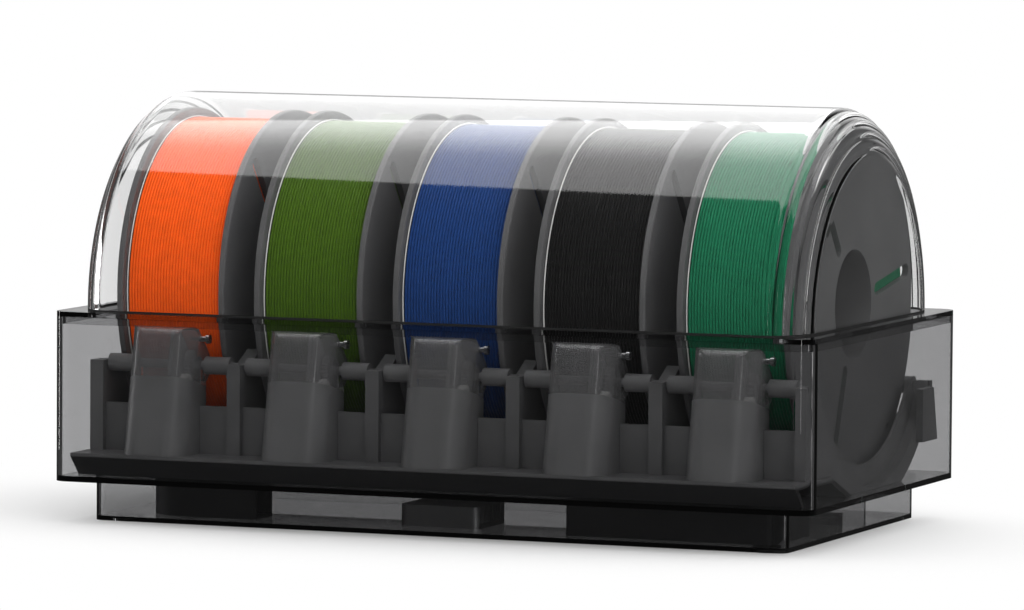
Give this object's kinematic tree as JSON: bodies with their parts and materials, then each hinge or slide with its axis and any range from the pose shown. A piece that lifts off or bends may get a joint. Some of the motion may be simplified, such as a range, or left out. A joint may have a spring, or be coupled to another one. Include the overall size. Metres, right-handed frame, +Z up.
{
  "type": "filament dryer box",
  "caption": "Smoked tub with a clear hinged dome lid, in which filament spools lie side by side on driven rollers above a heated plinth.",
  "frame": {"origin": "on the floor under the middle of the box", "axes": "+X along the row of spools, +Y to the hinged back, +Z up"},
  "size_m": [0.4532, 0.247, 0.2385],
  "materials": {
    "smoked_clear": "gloss smoked clear",
    "smoked_deck": "gloss smoked clear",
    "clear_plastic": "gloss clear",
    "smoked_cap": "gloss smoked clear",
    "grey_plastic": "satin",
    "spool_grey": "satin",
    "roller_grey": "satin",
    "gear_white": "satin",
    "black_plastic": "satin",
    "rotor_black": "satin",
    "aluminium": "satin",
    "steel": "bright",
    "rubber": "matte",
    "filament_orange": "gloss",
    "filament_olive_green": "gloss",
    "filament_blue": "gloss",
    "filament_black": "gloss",
    "filament_green": "gloss"
  },
  "bodies": {
    "base": {"tub": "smoked_clear", "plinth": "smoked_clear", "rim_frame": "smoked_deck", "gear_cover_1": "smoked_cap", "gear_cover_2": "smoked_cap", "gear_cover_3": "smoked_cap", "gear_cover_4": "smoked_cap", "gear_cover_5": "smoked_cap", "front_shelf": "grey_plastic", "cradle_ribs": "grey_plastic", "rear_rail": "grey_plastic", "drive_housing_1": "grey_plastic", "drive_housing_2": "grey_plastic", "drive_housing_3": "grey_plastic", "drive_housing_4": "grey_plastic", "drive_housing_5": "grey_plastic", "blower_housing": "black_plastic", "control_box": "black_plastic", "power_inlet": "black_plastic", "hinge_brackets": "black_plastic", "heater_core": "aluminium", "drive_motors": "steel", "cover_pins": "steel", "case_screws": "steel", "hinge_pins": "steel", "lid_seal": "rubber", "rubber_feet": "rubber"},
    "lid": {"lid": "clear_plastic"},
    "blower_rotor": {"blower_rotor": "rotor_black"},
    "spool_1": {"spool_1": "spool_grey", "filament_core_1": "filament_orange", "filament_turns_1": "filament_orange"},
    "drive_roller_1": {"drive_roller_1": "roller_grey"},
    "rear_roller_1": {"rear_roller_1": "roller_grey"},
    "pinion_1": {"pinion_1": "gear_white"},
    "spool_2": {"spool_2": "spool_grey", "filament_core_2": "filament_olive_green", "filament_turns_2": "filament_olive_green"},
    "drive_roller_2": {"drive_roller_2": "roller_grey"},
    "rear_roller_2": {"rear_roller_2": "roller_grey"},
    "pinion_2": {"pinion_2": "gear_white"},
    "spool_3": {"spool_3": "spool_grey", "filament_core_3": "filament_blue", "filament_turns_3": "filament_blue"},
    "drive_roller_3": {"drive_roller_3": "roller_grey"},
    "rear_roller_3": {"rear_roller_3": "roller_grey"},
    "pinion_3": {"pinion_3": "gear_white"},
    "spool_4": {"spool_4": "spool_grey", "filament_core_4": "filament_black", "filament_turns_4": "filament_black"},
    "drive_roller_4": {"drive_roller_4": "roller_grey"},
    "rear_roller_4": {"rear_roller_4": "roller_grey"},
    "pinion_4": {"pinion_4": "gear_white"},
    "spool_5": {"spool_5": "spool_grey", "filament_core_5": "filament_green", "filament_turns_5": "filament_green"},
    "drive_roller_5": {"drive_roller_5": "roller_grey"},
    "rear_roller_5": {"rear_roller_5": "roller_grey"},
    "pinion_5": {"pinion_5": "gear_white"}
  },
  "joints": [
    {"name": "lid_hinge", "type": "hinge", "parent": "base", "child": "lid", "pos_m": [0, 0.12115, 0.1224], "axis": [-1, 0, 0], "range_deg": [0, 85]},
    {"name": "spool_1_turn", "type": "hinge", "parent": "base", "child": "spool_1", "pos_m": [-0.1686, 0.01075, 0.129], "axis": [1, 0, 0], "continuous": true},
    {"name": "drive_roller_1_turn", "type": "hinge", "parent": "base", "child": "drive_roller_1", "pos_m": [-0.1686, -0.08666, 0.089], "axis": [1, 0, 0], "continuous": true},
    {"name": "rear_roller_1_turn", "type": "hinge", "parent": "base", "child": "rear_roller_1", "pos_m": [-0.1686, 0.10232, 0.077], "axis": [1, 0, 0], "continuous": true},
    {"name": "pinion_1_turn", "type": "hinge", "parent": "base", "child": "pinion_1", "pos_m": [-0.1686, -0.09466, 0.07619], "axis": [1, 0, 0], "continuous": true},
    {"name": "spool_2_turn", "type": "hinge", "parent": "base", "child": "spool_2", "pos_m": [-0.0843, 0.01075, 0.129], "axis": [1, 0, 0], "continuous": true},
    {"name": "drive_roller_2_turn", "type": "hinge", "parent": "base", "child": "drive_roller_2", "pos_m": [-0.0843, -0.08666, 0.089], "axis": [1, 0, 0], "continuous": true},
    {"name": "rear_roller_2_turn", "type": "hinge", "parent": "base", "child": "rear_roller_2", "pos_m": [-0.0843, 0.10232, 0.077], "axis": [1, 0, 0], "continuous": true},
    {"name": "pinion_2_turn", "type": "hinge", "parent": "base", "child": "pinion_2", "pos_m": [-0.0843, -0.09466, 0.07619], "axis": [1, 0, 0], "continuous": true},
    {"name": "spool_3_turn", "type": "hinge", "parent": "base", "child": "spool_3", "pos_m": [0, 0.01075, 0.129], "axis": [1, 0, 0], "continuous": true},
    {"name": "drive_roller_3_turn", "type": "hinge", "parent": "base", "child": "drive_roller_3", "pos_m": [0, -0.08666, 0.089], "axis": [1, 0, 0], "continuous": true},
    {"name": "rear_roller_3_turn", "type": "hinge", "parent": "base", "child": "rear_roller_3", "pos_m": [0, 0.10232, 0.077], "axis": [1, 0, 0], "continuous": true},
    {"name": "pinion_3_turn", "type": "hinge", "parent": "base", "child": "pinion_3", "pos_m": [0, -0.09466, 0.07619], "axis": [1, 0, 0], "continuous": true},
    {"name": "spool_4_turn", "type": "hinge", "parent": "base", "child": "spool_4", "pos_m": [0.0843, 0.01075, 0.129], "axis": [1, 0, 0], "continuous": true},
    {"name": "drive_roller_4_turn", "type": "hinge", "parent": "base", "child": "drive_roller_4", "pos_m": [0.0843, -0.08666, 0.089], "axis": [1, 0, 0], "continuous": true},
    {"name": "rear_roller_4_turn", "type": "hinge", "parent": "base", "child": "rear_roller_4", "pos_m": [0.0843, 0.10232, 0.077], "axis": [1, 0, 0], "continuous": true},
    {"name": "pinion_4_turn", "type": "hinge", "parent": "base", "child": "pinion_4", "pos_m": [0.0843, -0.09466, 0.07619], "axis": [1, 0, 0], "continuous": true},
    {"name": "spool_5_turn", "type": "hinge", "parent": "base", "child": "spool_5", "pos_m": [0.1686, 0.01075, 0.129], "axis": [1, 0, 0], "continuous": true},
    {"name": "drive_roller_5_turn", "type": "hinge", "parent": "base", "child": "drive_roller_5", "pos_m": [0.1686, -0.08666, 0.089], "axis": [1, 0, 0], "continuous": true},
    {"name": "rear_roller_5_turn", "type": "hinge", "parent": "base", "child": "rear_roller_5", "pos_m": [0.1686, 0.10232, 0.077], "axis": [1, 0, 0], "continuous": true},
    {"name": "pinion_5_turn", "type": "hinge", "parent": "base", "child": "pinion_5", "pos_m": [0.1686, -0.09466, 0.07619], "axis": [1, 0, 0], "continuous": true},
    {"name": "blower_rotor_turn", "type": "hinge", "parent": "base", "child": "blower_rotor", "pos_m": [-0.15825, -0.06255, 0.0122], "axis": [0, 0, 1], "continuous": true}
  ],
  "couplings": [
    {"joint": "drive_roller_1_turn", "follows": "spool_1_turn", "ratio": -20},
    {"joint": "rear_roller_1_turn", "follows": "spool_1_turn", "ratio": -20},
    {"joint": "pinion_1_turn", "follows": "spool_1_turn", "ratio": 20},
    {"joint": "drive_roller_2_turn", "follows": "spool_2_turn", "ratio": -20},
    {"joint": "rear_roller_2_turn", "follows": "spool_2_turn", "ratio": -20},
    {"joint": "pinion_2_turn", "follows": "spool_2_turn", "ratio": 20},
    {"joint": "drive_roller_3_turn", "follows": "spool_3_turn", "ratio": -20},
    {"joint": "rear_roller_3_turn", "follows": "spool_3_turn", "ratio": -20},
    {"joint": "pinion_3_turn", "follows": "spool_3_turn", "ratio": 20},
    {"joint": "drive_roller_4_turn", "follows": "spool_4_turn", "ratio": -20},
    {"joint": "rear_roller_4_turn", "follows": "spool_4_turn", "ratio": -20},
    {"joint": "pinion_4_turn", "follows": "spool_4_turn", "ratio": 20},
    {"joint": "drive_roller_5_turn", "follows": "spool_5_turn", "ratio": -20},
    {"joint": "rear_roller_5_turn", "follows": "spool_5_turn", "ratio": -20},
    {"joint": "pinion_5_turn", "follows": "spool_5_turn", "ratio": 20}
  ]
}
